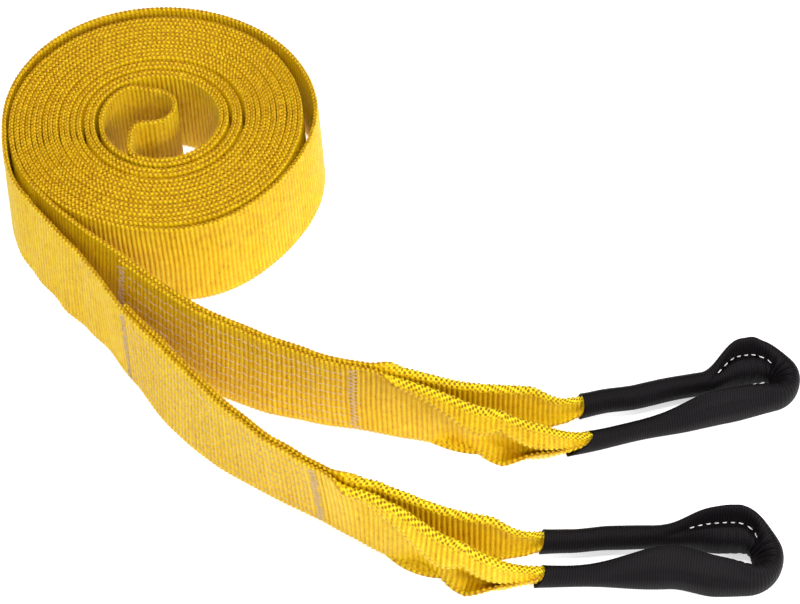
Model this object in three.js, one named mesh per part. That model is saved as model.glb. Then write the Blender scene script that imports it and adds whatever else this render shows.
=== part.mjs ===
import * as THREE from "three";

// Tow strap. One long flat webbing is doubled at its middle and wound up from there, so that
// two strands run side by side round the coil. The coil stands on the edge of the webbing.
// Both ends leave it at the front left and run out on edge. Each end is turned back on itself,
// sewn down in a lap, and forms an eye that wears a sewn sleeve.
// Lengths are in millimetres, angles in degrees. X runs along the eyes, Z is up.

// The webbing
const webWidth = 50.8;
const webThickness = 2.4;
const plyGap = 0.3;

// The coil. Angles round it are wound clockwise from its left side, going inwards.
const coilRadius = 76.8;
const coilTurns = 8;
const stationsPerTurn = 36;
const pairSlack = 0.1;
const exitAngle = -40;
const outerEndAngle = 40;
const innerEndAngle = 290;

// The outermost turn stands off the coil at its right side, and the last turns are loose.
const standOff = 2.4;
const standOffFrom = 55;
const standOffTo = 290;
const looseGap = 1.5;
const looseTurns = [1.6, 0.5];
const looseRun = 0.5;

// The doubled middle of the webbing hooks through the bore in an S.
const hookEntryRadius = 10;
const hookEntryRun = 10;
const hookDip = 15;
const hookTurnRadius = 11.5;
const hookReturnRadius = 7.5;

// The two ends: the bends of each one's middle line from the coil to the tip of its eye,
// as pairs of a length and the angle that it turns by, and the half width of the eye there.
const upperEnd = {
  mainSide: 1,
  tail: [[60, 10], [55, 8], [50, 9], [25, 11]],
  eye: [[30, 8], [40, 8], [40, 12], [81, -2]],
  tipRadius: 8.2,
};
const lowerEnd = {
  mainSide: -1,
  tail: [[30, -8], [62, 7], [40, -2], [60, 24], [22, -1]],
  eye: [[30, 8], [40, 18], [30, 5], [89, -1]],
  tipRadius: 10.6,
};
const lapLength = 130;
const lapRamp = 25;
const eyeHalfWidth = 10.5;
const eyeSpreadRun = 85;
const tipNarrowRun = 50;

// The strap leans back on its lower edge between the coil and the lap's end.
const tailLean = 8.5;
const tailLeanRise = [4, 50];
const tailLeanFall = [130, 188];
const plyLean = -11;

// In the eye the webbing is folded lengthwise, so it gets lower and thicker. The folds are
// pressed together, so the section keeps only a part of its area.
const bundleHeight = 12;
const bundlePacking = 0.72;
const tipHeight = 26;
const mouthFromTip = 84;
const tipOpenRun = 55;

// The sleeve
const sleeveWall = 1;
const sleeveClearance = 0.3;
const sleeveCorner = 1.2;
const sleeveInnerCorner = 0.3;

// How finely the bends are divided
const tailStep = 13;
const eyeStep = 9;
const hookStep = 20;
const tipSteps = 8;

const radians = THREE.MathUtils.degToRad;
const smooth = (value, from, to) => THREE.MathUtils.smoothstep(value, from, to);
const plyPitch = webThickness + plyGap;
const pairPitch = 2 * plyPitch + pairSlack;
const sleeveOffset = sleeveWall + sleeveClearance;

// A place on a plan path: a point, the direction of travel and the unit vector to its left
function place(x, y, heading) {
  const angle = radians(heading);
  return {
    x,
    y,
    heading,
    left: new THREE.Vector2(-Math.sin(angle), Math.cos(angle)),
  };
}

// The place that lies a distance along a chain of bends from a start
function placeAlong(start, bends, distance) {
  let here = start;
  let rest = distance;
  for (const [length, turn] of bends) {
    const run = Math.min(rest, length);
    const turned = turn * run / length;
    const half = radians(turned / 2);
    const chord = run * (half === 0 ? 1 : Math.sin(half) / half);
    const way = radians(here.heading) + half;
    here = place(here.x + chord * Math.cos(way), here.y + chord * Math.sin(way), here.heading + turned);
    rest -= run;
    if (rest <= 0) break;
  }
  return here;
}

// Even steps from one number to another, both ends included
function steps(from, to, step) {
  const count = Math.max(1, Math.round(Math.abs(to - from) / step));
  return Array.from({ length: count + 1 }, (_, i) => from + (to - from) * i / count);
}

const totalLength = (bends) => bends.reduce((sum, [length]) => sum + length, 0);

// A section of the webbing at a place: its height, thickness, lean to the left and lift
function station(at, offset = 0, shape = {}) {
  return {
    x: at.x + offset * at.left.x,
    y: at.y + offset * at.left.y,
    left: at.left.clone(),
    height: webWidth,
    thickness: webThickness,
    lean: 0,
    lift: 0,
    ...shape,
  };
}

// The same section seen by someone who walks the other way
function turnedRound(s) {
  return { ...s, left: s.left.clone().negate(), lean: -s.lean };
}

// Radius of the outer strand's middle line at a winding angle
function strandRadius(angle) {
  const turns = angle / 360;
  const loose = looseTurns
    .map((before) => looseGap * smooth(turns, coilTurns - before - looseRun, coilTurns - before))
    .reduce((sum, gap) => sum + gap, 0);
  return coilRadius - pairPitch * turns - loose;
}

// How far the outermost turn stands off at a winding angle
function standOffAt(angle) {
  const share = THREE.MathUtils.clamp((angle - standOffFrom) / (standOffTo - standOffFrom), 0, 1);
  return standOff * Math.sin(Math.PI * share) ** 2;
}

function coilPlace(angle, radius) {
  const around = 180 - angle;
  const at = radians(around);
  return place(radius * Math.cos(at), radius * Math.sin(at), around - 90);
}

// One strand of the coil, from its exit inwards, with its sections on the same rays in every turn
function strand(lastAngle, inset, standsOff) {
  const step = 360 / stationsPerTurn;
  const angles = [exitAngle];
  for (let i = Math.floor(exitAngle / step) + 1; i * step < lastAngle; i += 1) angles.push(i * step);
  angles.push(lastAngle);
  return angles.map((angle) => {
    const bulge = standsOff ? standOffAt(angle) : 0;
    return station(coilPlace(angle, strandRadius(angle) - inset + bulge));
  });
}

const outerLastAngle = coilTurns * 360 + outerEndAngle;
const innerLastAngle = (coilTurns - 1) * 360 + innerEndAngle;

// The S hook from the outer strand's inner end to the inner strand's. The two straight runs
// that close it are worked out from the ends that it joins.
function hook() {
  const from = coilPlace(outerLastAngle, strandRadius(outerLastAngle));
  const to = coilPlace(innerLastAngle, strandRadius(innerLastAngle) - plyPitch);
  const leaving = to.heading + 180;
  const last = THREE.MathUtils.euclideanModulo(leaving, 360);
  const entryTurn = from.heading - 360 * Math.round(from.heading / 360);
  const lastTurn = last > 180 ? last - 270 : last + 90;
  const before = [
    [hookEntryRadius * radians(entryTurn + hookDip), -entryTurn - hookDip],
    [hookEntryRun, 0],
    [hookTurnRadius * radians(180 - hookDip), hookDip - 180],
  ];
  const start = { ...from, heading: entryTurn };
  const turned = placeAlong(start, before, totalLength(before));
  const endX = hookReturnRadius * (1 - Math.cos(radians(lastTurn)));
  const endY = hookReturnRadius * Math.sin(radians(lastTurn));
  const across = turned.x - hookReturnRadius - (to.x - endX);
  const down = turned.y - hookReturnRadius - (to.y + endY);
  const bends = [
    ...before,
    [across, 0],
    [hookReturnRadius * Math.PI / 2, 90],
    [down, 0],
    [hookReturnRadius * radians(lastTurn), lastTurn],
  ];
  const result = [];
  let travelled = 0;
  for (const [length, turn] of bends) {
    const parts = Math.max(1, Math.ceil(Math.abs(turn) / hookStep));
    for (let i = 1; i <= parts; i += 1) {
      result.push(station(placeAlong(start, bends, travelled + length * i / parts)));
    }
    travelled += length;
  }
  result.pop();
  return result;
}

// One end of the strap, from its exit out of the coil to the end of the turned-back ply,
// and the part of it that its sleeve covers
function strapEnd(end, inset) {
  const exit = coilPlace(exitAngle, strandRadius(exitAngle) - inset);
  const start = place(exit.x, exit.y, exit.heading + 180);
  const bends = [...end.tail, ...end.eye];
  const lapEnd = totalLength(end.tail);
  const lapStart = lapEnd - lapLength;
  const tip = totalLength(bends);
  const mouth = tip - mouthFromTip;

  const leanAt = (s) => {
    const back = smooth(s, ...tailLeanRise) - smooth(s, ...tailLeanFall);
    const forward = smooth(s, lapEnd, (lapEnd + mouth) / 2) - smooth(s, (lapEnd + mouth) / 2, mouth);
    return tailLean * back + plyLean * forward;
  };
  const halfAt = (s) => {
    const lap = plyPitch / 2 * smooth(s, lapStart - lapRamp, lapStart);
    const spread = (eyeHalfWidth - plyPitch / 2) * smooth(s, lapEnd, lapEnd + eyeSpreadRun);
    return lap + spread + (end.tipRadius - eyeHalfWidth) * smooth(s, tip - tipNarrowRun, tip);
  };
  const heightAt = (s) => {
    const folded = (webWidth - bundleHeight) * smooth(s, lapEnd, mouth);
    return webWidth - folded + (tipHeight - bundleHeight) * smooth(s, tip - tipOpenRun, tip);
  };
  const shapeAt = (s) => {
    const height = heightAt(s);
    const packing = 1 - (1 - bundlePacking) * smooth(s, lapEnd, mouth);
    return {
      height,
      thickness: packing * webThickness * webWidth / height,
      lean: leanAt(s),
      lift: sleeveOffset * smooth(s, lapEnd, mouth),
    };
  };
  const leg = (side, distances) => distances.map((s) => (
    station(placeAlong(start, bends, s), side * halfAt(s), shapeAt(s))
  ));

  const tail = leg(end.mainSide, steps(0, lapStart, tailStep).slice(1));
  const lapMain = leg(end.mainSide, steps(lapStart, lapEnd, tailStep).slice(1));
  const plyMain = leg(end.mainSide, steps(lapEnd, mouth, eyeStep).slice(1, -1));
  const sleeveMain = leg(end.mainSide, steps(mouth, tip, eyeStep));
  const centre = placeAlong(start, bends, tip);
  const around = steps(90, -90, 180 / tipSteps).slice(1, -1).map((angle) => {
    const at = place(centre.x, centre.y, centre.heading + end.mainSide * (angle - 90));
    return station(at, end.mainSide * end.tipRadius, shapeAt(tip));
  });
  const back = (stations) => stations.map(turnedRound).reverse();
  const sleeved = [...sleeveMain, ...around, ...back(leg(-end.mainSide, steps(mouth, tip, eyeStep)))];
  const plyBack = back(leg(-end.mainSide, steps(lapEnd, mouth, eyeStep).slice(1, -1)));
  const lapBack = back(leg(-end.mainSide, steps(lapStart, lapEnd, tailStep)));
  return { stations: [...tail, ...lapMain, ...plyMain, ...sleeved, ...plyBack, ...lapBack], sleeved };
}

// Corners of a section that is grown by a margin and has its corners cut, going round it
function sectionRing(s, margin, corner) {
  const halfHeight = s.height / 2 + margin;
  const halfThickness = s.thickness / 2 + margin;
  const outline = corner > 0
    ? [
      [-halfThickness + corner, -halfHeight], [halfThickness - corner, -halfHeight],
      [halfThickness, -halfHeight + corner], [halfThickness, halfHeight - corner],
      [halfThickness - corner, halfHeight], [-halfThickness + corner, halfHeight],
      [-halfThickness, halfHeight - corner], [-halfThickness, -halfHeight + corner],
    ]
    : [
      [-halfThickness, -halfHeight], [halfThickness, -halfHeight],
      [halfThickness, halfHeight], [-halfThickness, halfHeight],
    ];
  const lean = radians(s.lean);
  const middle = s.lift + s.height / 2 * Math.cos(lean) + s.thickness / 2 * Math.abs(Math.sin(lean));
  return outline.map(([across, up]) => {
    const sideways = across * Math.cos(lean) + up * Math.sin(lean);
    const z = middle + up * Math.cos(lean) - across * Math.sin(lean);
    return [s.x + sideways * s.left.x, s.y + sideways * s.left.y, z];
  });
}

// The closed skin between rings of corners, as triangles. Rings run from first to last.
function skin(rings, vertices, triangles, inwards) {
  const base = vertices.length;
  const size = rings[0].length;
  rings.forEach((ring) => vertices.push(...ring));
  for (let i = 0; i + 1 < rings.length; i += 1) {
    for (let j = 0; j < size; j += 1) {
      const a = base + i * size + j;
      const b = base + i * size + (j + 1) % size;
      const faces = [[a, b, b + size], [a, b + size, a + size]];
      for (const face of faces) triangles.push(inwards ? face.reverse() : face);
    }
  }
  return base;
}

function meshOf(name, vertices, triangles, material) {
  const geometry = new THREE.BufferGeometry();
  geometry.setAttribute("position", new THREE.Float32BufferAttribute(vertices.flat(), 3));
  geometry.setIndex(triangles.flat());
  geometry.computeVertexNormals();
  const mesh = new THREE.Mesh(geometry, material);
  mesh.name = name;
  return mesh;
}

// A solid strip through sections, flat at both ends
function strip(name, stations, material) {
  const vertices = [];
  const triangles = [];
  const rings = stations.map((s) => sectionRing(s, 0, 0));
  const base = skin(rings, vertices, triangles, false);
  const last = base + (rings.length - 1) * 4;
  triangles.push([base, base + 2, base + 1], [base, base + 3, base + 2]);
  triangles.push([last, last + 1, last + 2], [last, last + 2, last + 3]);
  return meshOf(name, vertices, triangles, material);
}

// An open tube round sections, with a flat rim at each mouth
function tube(name, stations, material) {
  const vertices = [];
  const triangles = [];
  const outside = stations.map((s) => sectionRing(s, sleeveOffset, sleeveCorner));
  const inside = stations.map((s) => sectionRing(s, sleeveClearance, sleeveInnerCorner));
  const outer = skin(outside, vertices, triangles, false);
  const inner = skin(inside, vertices, triangles, true);
  const size = outside[0].length;
  const lastRing = (stations.length - 1) * size;
  for (let j = 0; j < size; j += 1) {
    const k = (j + 1) % size;
    triangles.push([outer + j, inner + j, inner + k], [outer + j, inner + k, outer + k]);
    const [o, i] = [outer + lastRing, inner + lastRing];
    triangles.push([o + j, i + k, i + j], [o + j, o + k, i + k]);
  }
  return meshOf(name, vertices, triangles, material);
}

// Materials
const yellowWebbing = new THREE.MeshStandardMaterial({ color: 0xd8b016, roughness: 0.62, metalness: 0 });
const upperSleeveCloth = new THREE.MeshStandardMaterial({ color: 0x1b181a, roughness: 0.7, metalness: 0 });
const lowerSleeveCloth = new THREE.MeshStandardMaterial({ color: 0x1b181a, roughness: 0.7, metalness: 0 });

// The whole webbing, from the turned-back ply of the lower end to that of the upper end
const lower = strapEnd(lowerEnd, 0);
const upper = strapEnd(upperEnd, plyPitch);
const webbing = strip("webbing", [
  ...lower.stations.map(turnedRound).reverse(),
  ...strand(outerLastAngle, 0, true),
  ...hook(),
  ...strand(innerLastAngle, plyPitch, false).map(turnedRound).reverse(),
  ...upper.stations,
], yellowWebbing);

const strap = new THREE.Group();
strap.add(webbing);
strap.add(tube("upper_eye_sleeve", upper.sleeved, upperSleeveCloth));
strap.add(tube("lower_eye_sleeve", lower.sleeved, lowerSleeveCloth));

// The origin is the middle of the strap's footprint, on the floor.
const footprint = new THREE.Box3().setFromObject(strap);
const middle = footprint.getCenter(new THREE.Vector3());
strap.position.set(-middle.x, -middle.y, -footprint.min.z);

const towStrap = new THREE.Group();
towStrap.add(strap);

export default towStrap;
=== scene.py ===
"""A flat webbing tow strap: a coil that stands on edge, and two ends with sewn laps and sleeved
eyes."""
import math

import bpy
import numpy as np
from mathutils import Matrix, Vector


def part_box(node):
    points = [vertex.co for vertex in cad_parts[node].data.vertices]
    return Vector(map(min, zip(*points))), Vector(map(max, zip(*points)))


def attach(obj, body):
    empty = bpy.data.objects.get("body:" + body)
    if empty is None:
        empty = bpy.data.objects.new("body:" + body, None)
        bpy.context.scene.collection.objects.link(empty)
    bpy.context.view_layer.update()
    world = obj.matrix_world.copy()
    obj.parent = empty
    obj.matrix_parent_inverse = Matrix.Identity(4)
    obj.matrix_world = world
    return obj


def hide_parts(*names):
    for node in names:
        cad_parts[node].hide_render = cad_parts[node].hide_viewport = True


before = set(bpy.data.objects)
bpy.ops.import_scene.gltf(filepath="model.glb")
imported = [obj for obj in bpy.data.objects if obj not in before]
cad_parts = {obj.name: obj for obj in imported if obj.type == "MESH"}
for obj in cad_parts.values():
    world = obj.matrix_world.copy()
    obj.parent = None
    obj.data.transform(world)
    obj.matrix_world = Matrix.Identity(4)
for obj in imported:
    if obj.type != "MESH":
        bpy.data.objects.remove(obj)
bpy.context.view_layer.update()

# Lengths are in millimetres up to the meshes themselves, which are in metres.
METRE = 1000.0

# The webbing as it is woven
WEB_WIDTH = 50.8
WEB_THICKNESS = 2.4
PLY_GAP = 0.3
PLY_PITCH = WEB_THICKNESS + PLY_GAP
RIB_PITCH = 2.35
RIB_HEIGHT = 0.33
RIB_WANDER = 0.25
# How far the ribs' height varies, and how much fuller they are on the edge
RIB_UNEVEN = 0.3
EDGE_FULLER = 0.5
WEB_YARN_PITCH = 1.05
SLEEVE_RIB_PITCH = 1.15
SLEEVE_YARN_PITCH = 0.9
STATION_STEP = 0.58

# The coil. Winding angles run clockwise from its left side, in degrees, inwards.
COIL_RADIUS = 76.8
COIL_TURNS = 8
PAIR_PITCH = 2 * PLY_PITCH + 0.1
EXIT_ANGLE = -40
OUTER_END = COIL_TURNS * 360 + 40
INNER_END = (COIL_TURNS - 1) * 360 + 290
STAND_OFF = 2.4
STAND_OFF_FROM = 55
STAND_OFF_TO = 290
LOOSE_GAP = 1.5
LOOSE_TURNS = (1.6, 0.5)
LOOSE_RUN = 0.5
OUTSIDE_TURN_END = 335
BORE_FROM = 2420
OUTER_BORE_FROM = BORE_FROM + 340
# The strands stray from a true spiral by sine waves: (height, waves in a turn, share of the inset)
UNREST = ((0.16, 0.73, 1), (0.1, 2.31, 2))
UNREST_RISE = (380, 700)
UNREST_FALL = (BORE_FROM - 300, BORE_FROM - 60)
# The inner strand's ribs are shifted along it by so many times its inset
INNER_RIB_SHIFT = 1.6

# The S hook of the doubled middle
HOOK_ENTRY_RADIUS = 10
HOOK_ENTRY_RUN = 10
HOOK_DIP = 15
HOOK_TURN_RADIUS = 11.5
HOOK_RETURN_RADIUS = 7.5
HOOK_POINTS = 600

# The two ends. tail and eye are bends as (length, turn) from the coil to the tip of the eye.
# drift is how far the end strays to its left, as (distance from the coil, at the floor, at full
# height). A fit is how slim a leg is and how far it lies towards the hole. ear_at is where the
# lower edge sticks out, as a share of the way from lap to sleeve. A sleeve opens between two runs
# from its tip, near_rim is the height of its near lip, and slant is how far its mouth is cut
# aslant.
ENDS = {
    "upper": {
        "side": 1,
        "tail": ((60, 10), (55, 8), (50, 9), (25, 11)),
        "eye": ((30, 8), (40, 8), (40, 12), (81, -2)),
        "tip_radius": 8.2,
        "drift": (
            (0, 0, 0), (60, -1.2, -3.0), (110, -2.2, -5.2), (140, -0.5, -4.0),
            (165, 1.5, -1.5), (190, 3.2, 0.2), (212, 2.4, 0.8), (240, 0, 0),
        ),
        "near_fit": (0.72, 0.9),
        "far_fit": (0.84, 2.3),
        "ear_at": 0.57,
        "near_opens": (78, 42),
        "near_rim": 20.5,
        "far_opens": (43, 23),
        "slant": 13.0,
    },
    "lower": {
        "side": -1,
        "tail": ((30, -8), (62, 7), (40, -2), (60, 24), (22, -1)),
        "eye": ((30, 8), (40, 18), (30, 5), (86.6, -1)),
        "tip_radius": 10.6,
        "drift": (
            (0, -5.9, -4.0), (10, -6.9, -4.8), (30, -3.8, -5.4), (50, 1.2, -4.6),
            (70, 3.6, -4.4), (90, 3.0, -4.6), (115, 0.9, -3.5), (150, 3.0, -1.4),
            (170, 3.5, -0.6), (190, 3.3, -2.4), (208, 3.2, -4.2), (224, 2.4, -4.8),
            (240, 1.0, 0.2), (252, 0, 2.2), (285, 0, 0),
        ),
        "near_fit": (0.72, 4.0),
        "far_fit": (0.80, -2.3),
        "ear_at": 0.62,
        "near_opens": (96, 52),
        "near_rim": 25.5,
        "far_opens": (56, 22),
        "slant": 5.0,
    },
}
LAP_LENGTH = 130
LAP_RAMP = 25
EYE_HALF_WIDTH = 10.5
EYE_SPREAD_RUN = 85
TIP_NARROW_RUN = 50
MOUTH_FROM_TIP = 87.5
TAIL_LEAN = 8.5
LEAN_RISE = (4, 50)
LEAN_FALL = (130, 188)
TAPER_FADE = (0, 110)
LEG_STEP = 0.5
TIP_POINTS = 60


def smooth(value, start, end):
    """0 before start, 1 after end, and the cubic S between them."""
    t = np.clip((value - start) / (end - start), 0, 1)
    return t * t * (3 - 2 * t)


def total(bends):
    """Length of a chain of bends."""
    return sum(length for length, _ in bends)


def along(start, bends, distances):
    """x, y and heading at distances along a chain of arcs: the heading turns evenly in each arc,
    and the chord to a point is the run times the sine of half the turn over that half turn."""
    x, y, heading = start
    d = np.asarray(distances, float)
    out = np.empty((3, d.size))
    begun = 0.0
    for length, turn in bends:
        here = d >= begun - 1e-9
        run = np.minimum(d[here] - begun, length)
        half = np.radians(turn * run / length / 2)
        chord = run * np.sinc(half / np.pi)
        way = math.radians(heading) + half
        turned = heading + 2 * np.degrees(half)
        out[:, here] = x + chord * np.cos(way), y + chord * np.sin(way), turned
        whole = math.radians(turn / 2)
        reach = length * np.sinc(whole / np.pi)
        x += reach * math.cos(math.radians(heading) + whole)
        y += reach * math.sin(math.radians(heading) + whole)
        heading += turn
        begun += length
    return out


def arc_lengths(x, y):
    """Running length of a line from its first point: the sum of the steps so far."""
    return np.concatenate([[0], np.cumsum(np.hypot(np.diff(x), np.diff(y)))])


def evenly(x, y, step=STATION_STEP):
    """The same line with its points an even step apart."""
    s = arc_lengths(x, y)
    even = np.linspace(0, s[-1], max(2, int(round(s[-1] / step)) + 1))
    return np.interp(even, s, x), np.interp(even, s, y), even


def strand_radius(angle):
    """Radius of the outer strand's middle line: one pair of strands less in each turn."""
    turns = angle / 360
    loose = sum(
        LOOSE_GAP * smooth(turns, COIL_TURNS - before - LOOSE_RUN, COIL_TURNS - before)
        for before in LOOSE_TURNS
    )
    return COIL_RADIUS - PAIR_PITCH * turns - loose


def stand_off(angle):
    """How far the outermost turn stands off: the square of a half sine wave."""
    share = np.clip((angle - STAND_OFF_FROM) / (STAND_OFF_TO - STAND_OFF_FROM), 0, 1)
    return STAND_OFF * np.sin(np.pi * share) ** 2


def coil_line(start, end, inset, stands_off):
    """x and y of a strand round the coil's axis between two winding angles. The radius strays a
    little, by two sine waves, where the coil is wound less evenly."""
    angle = np.linspace(start, end, int(abs(end - start) * 2))
    radius = strand_radius(angle) - inset
    if stands_off:
        radius = radius + stand_off(angle)
    turned = np.radians(angle)
    unrest = sum(height * np.sin(turned * waves + share * inset) for height, waves, share in UNREST)
    radius = radius + unrest * smooth(angle, *UNREST_RISE) * (1 - smooth(angle, *UNREST_FALL))
    around = np.radians(180 - angle)
    return radius * np.cos(around), radius * np.sin(around)


# How the coil's layers lie: the stack is pressed in at its back and right, the outermost turn
# bulges at its back and front, and the whole coil narrows a little towards the top. A bump is
# (depth, direction, half width), with the direction and width in degrees round the axis.
BACK_BULGE = (3.0, 132, 80)
FRONT_BULGE = (1.5, -75, 35)
FRONT_PRESS = (2.2, -30, 40)
BACK_PRESS = (2.8, 80, 95)
RIGHT_PRESS = (2.6, -5, 70)
# The radii between which each press sets in
BACK_PRESS_RADII = (14, 27)
RIGHT_PRESS_RADII = (20, 75)
START_BULGE_RUN = 48
TAPER = 0.022
TOP_SHIFT = -0.9


def bump_round(around, bump):
    """A bump's depth at its own direction, falling to 0 by a raised cosine half its width away."""
    depth, middle, half_width = bump
    off = (np.degrees(around) - middle + 180) % 360 - 180
    return depth * (0.5 + 0.5 * np.cos(np.pi * np.clip(off / half_width, -1, 1)))


def settled(x, y, outermost=False):
    """The same line of the coil with its radius moved by how the layers lie."""
    radius = np.hypot(x, y)
    around = np.arctan2(y, x)
    if outermost:
        moved = bump_round(around, BACK_BULGE) + bump_round(around, FRONT_BULGE)
        moved = moved - bump_round(around, FRONT_PRESS)
    else:
        moved = -bump_round(around, BACK_PRESS) * smooth(radius, *BACK_PRESS_RADII)
        moved = moved - bump_round(around, RIGHT_PRESS) * smooth(radius, *RIGHT_PRESS_RADII)
    scale = 1 + moved / np.maximum(radius, 1)
    return x * scale, y * scale


def tapered(mid, amount=1.0):
    """Points of the coil drawn in towards its axis, and aside, in proportion to their height."""
    share = amount * mid[..., 2:] / WEB_WIDTH
    mid[..., :2] *= 1 - TAPER * share
    mid[..., :1] += TOP_SHIFT * share
    return mid


def shifted(mid, way, low, top):
    """Points moved along a level way at each station, by low at the floor and by top at full
    height."""
    share = mid[..., 2] / WEB_WIDTH
    mid[..., :2] += way[:, None, :] * (low[:, None] + (top - low)[:, None] * share)[..., None]
    return mid


def drift_of(end, d):
    """How far an end strays to the left of its bends, at the floor and at full height: smooth steps
    between the places of its table."""
    table = np.array(end["drift"], float)
    place = np.clip(np.searchsorted(table[:, 0], d, side="right") - 1, 0, len(table) - 2)
    t = smooth(d, table[place, 0], table[place + 1, 0])[:, None]
    both = table[place, 1:] * (1 - t) + table[place + 1, 1:] * t
    return both[:, 0], both[:, 1]


def coil_place(angle, inset):
    """x, y and heading of a strand at a winding angle."""
    radius = strand_radius(np.float64(angle)) - inset
    around = math.radians(180 - angle)
    return radius * math.cos(around), radius * math.sin(around), 180 - angle - 90


def hook_line():
    """The S hook: two arcs in, a straight run across, a quarter turn, a straight run and an arc
    out to the inner strand."""
    from_x, from_y, from_heading = coil_place(OUTER_END, 0)
    to_x, to_y, to_heading = coil_place(INNER_END, PLY_PITCH)
    last = (to_heading + 180) % 360
    entry = from_heading - 360 * round(from_heading / 360)
    last_turn = last - 270 if last > 180 else last + 90
    before = (
        (HOOK_ENTRY_RADIUS * math.radians(entry + HOOK_DIP), -entry - HOOK_DIP),
        (HOOK_ENTRY_RUN, 0),
        (HOOK_TURN_RADIUS * math.radians(180 - HOOK_DIP), HOOK_DIP - 180),
    )
    start = (from_x, from_y, entry)
    turned_x, turned_y, _ = along(start, before, [total(before)])[:, 0]
    end_x = HOOK_RETURN_RADIUS * (1 - math.cos(math.radians(last_turn)))
    end_y = HOOK_RETURN_RADIUS * math.sin(math.radians(last_turn))
    across = turned_x - HOOK_RETURN_RADIUS - (to_x - end_x)
    down = turned_y - HOOK_RETURN_RADIUS - (to_y + end_y)
    bends = before + (
        (across, 0),
        (HOOK_RETURN_RADIUS * math.pi / 2, 90),
        (down, 0),
        (HOOK_RETURN_RADIUS * math.radians(last_turn), last_turn),
    )
    x, y, _ = along(start, bends, np.linspace(0, total(bends), HOOK_POINTS))
    return x, y


def coil_axis():
    """Where the coil's axis is in the row frame, from the webbing's left and far extremes."""
    low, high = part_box("webbing")
    # The winding angles among which the coil reaches furthest back
    far = np.linspace(60, 120, 7)
    reach = strand_radius(far) + stand_off(far) + WEB_THICKNESS / 2
    far_reach = reach * np.sin(np.radians(180 - far))
    return np.array([
        low.x * METRE + COIL_RADIUS + WEB_THICKNESS / 2,
        high.y * METRE - far_reach.max(),
        low.z * METRE,
    ])


AXIS = coil_axis()


# Meshes

def mesh_piece(name, points, faces, uv, marks, material):
    """One closed mesh, in metres in the row frame, with its faces turned outwards: they are
    turned over when the volume they enclose comes out negative. marks are named values, one for
    each point, that its material reads."""
    points = (points + AXIS) / METRE
    quads = faces[0]
    a, b, c, d = (points[quads[:, i]] for i in range(4))
    volume = np.einsum("ij,ij->i", a, np.cross(b, c)) + np.einsum("ij,ij->i", a, np.cross(c, d))
    if volume.sum() < 0:
        faces = [f[:, ::-1] for f in faces]
    mesh = bpy.data.meshes.new(name)
    mesh.from_pydata(points, [], [face for group in faces for face in group.tolist()])
    corner = np.empty(len(mesh.loops), np.int32)
    mesh.loops.foreach_get("vertex_index", corner)
    layer = mesh.uv_layers.new(name="weave")
    layer.data.foreach_set("uv", uv[corner].astype(np.float32).ravel())
    for mark, values in marks.items():
        kept = mesh.attributes.new(mark, "FLOAT", "POINT")
        kept.data.foreach_set("value", values.astype(np.float32).ravel())
    mesh.polygons.foreach_set("use_smooth", np.ones(len(mesh.polygons), bool))
    mesh.materials.append(material)
    mesh.update()
    piece = bpy.data.objects.new(name, mesh)
    bpy.context.scene.collection.objects.link(piece)
    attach(piece, "root")
    return piece


def ring_faces(stations, size):
    """Quads between neighbouring closed rings."""
    i = np.arange(stations - 1)[:, None] * size
    j = np.arange(size)[None, :]
    k = (j + 1) % size
    return np.stack([i + j, i + k, i + k + size, i + j + size], -1).reshape(-1, 4)


def unit(v):
    """Vectors divided by their own lengths."""
    return v / np.maximum(np.linalg.norm(v, axis=-1, keepdims=True), 1e-9)


def sheet_normals(mid):
    """Normals of a grid of points, to the right of the way of travel."""
    return unit(np.cross(np.gradient(mid, axis=0), np.gradient(mid, axis=1)))


def weave_relief(rib, turn):
    """Ribs on both faces, half a rib apart, that end in a row of beads each on the edge: a cosine
    of the way along times a cosine of the turn over the edge, with a slow rise and fall from rib to
    rib."""
    uneven = 1 + RIB_UNEVEN * np.sin(rib / 11.3) * np.sin(rib / 4.1 + 1)
    over = np.cos(np.pi * turn) * (1 + EDGE_FULLER * np.sin(np.pi * turn))
    return RIB_HEIGHT * uneven * np.cos(2 * np.pi * rib / RIB_PITCH) * over


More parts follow.
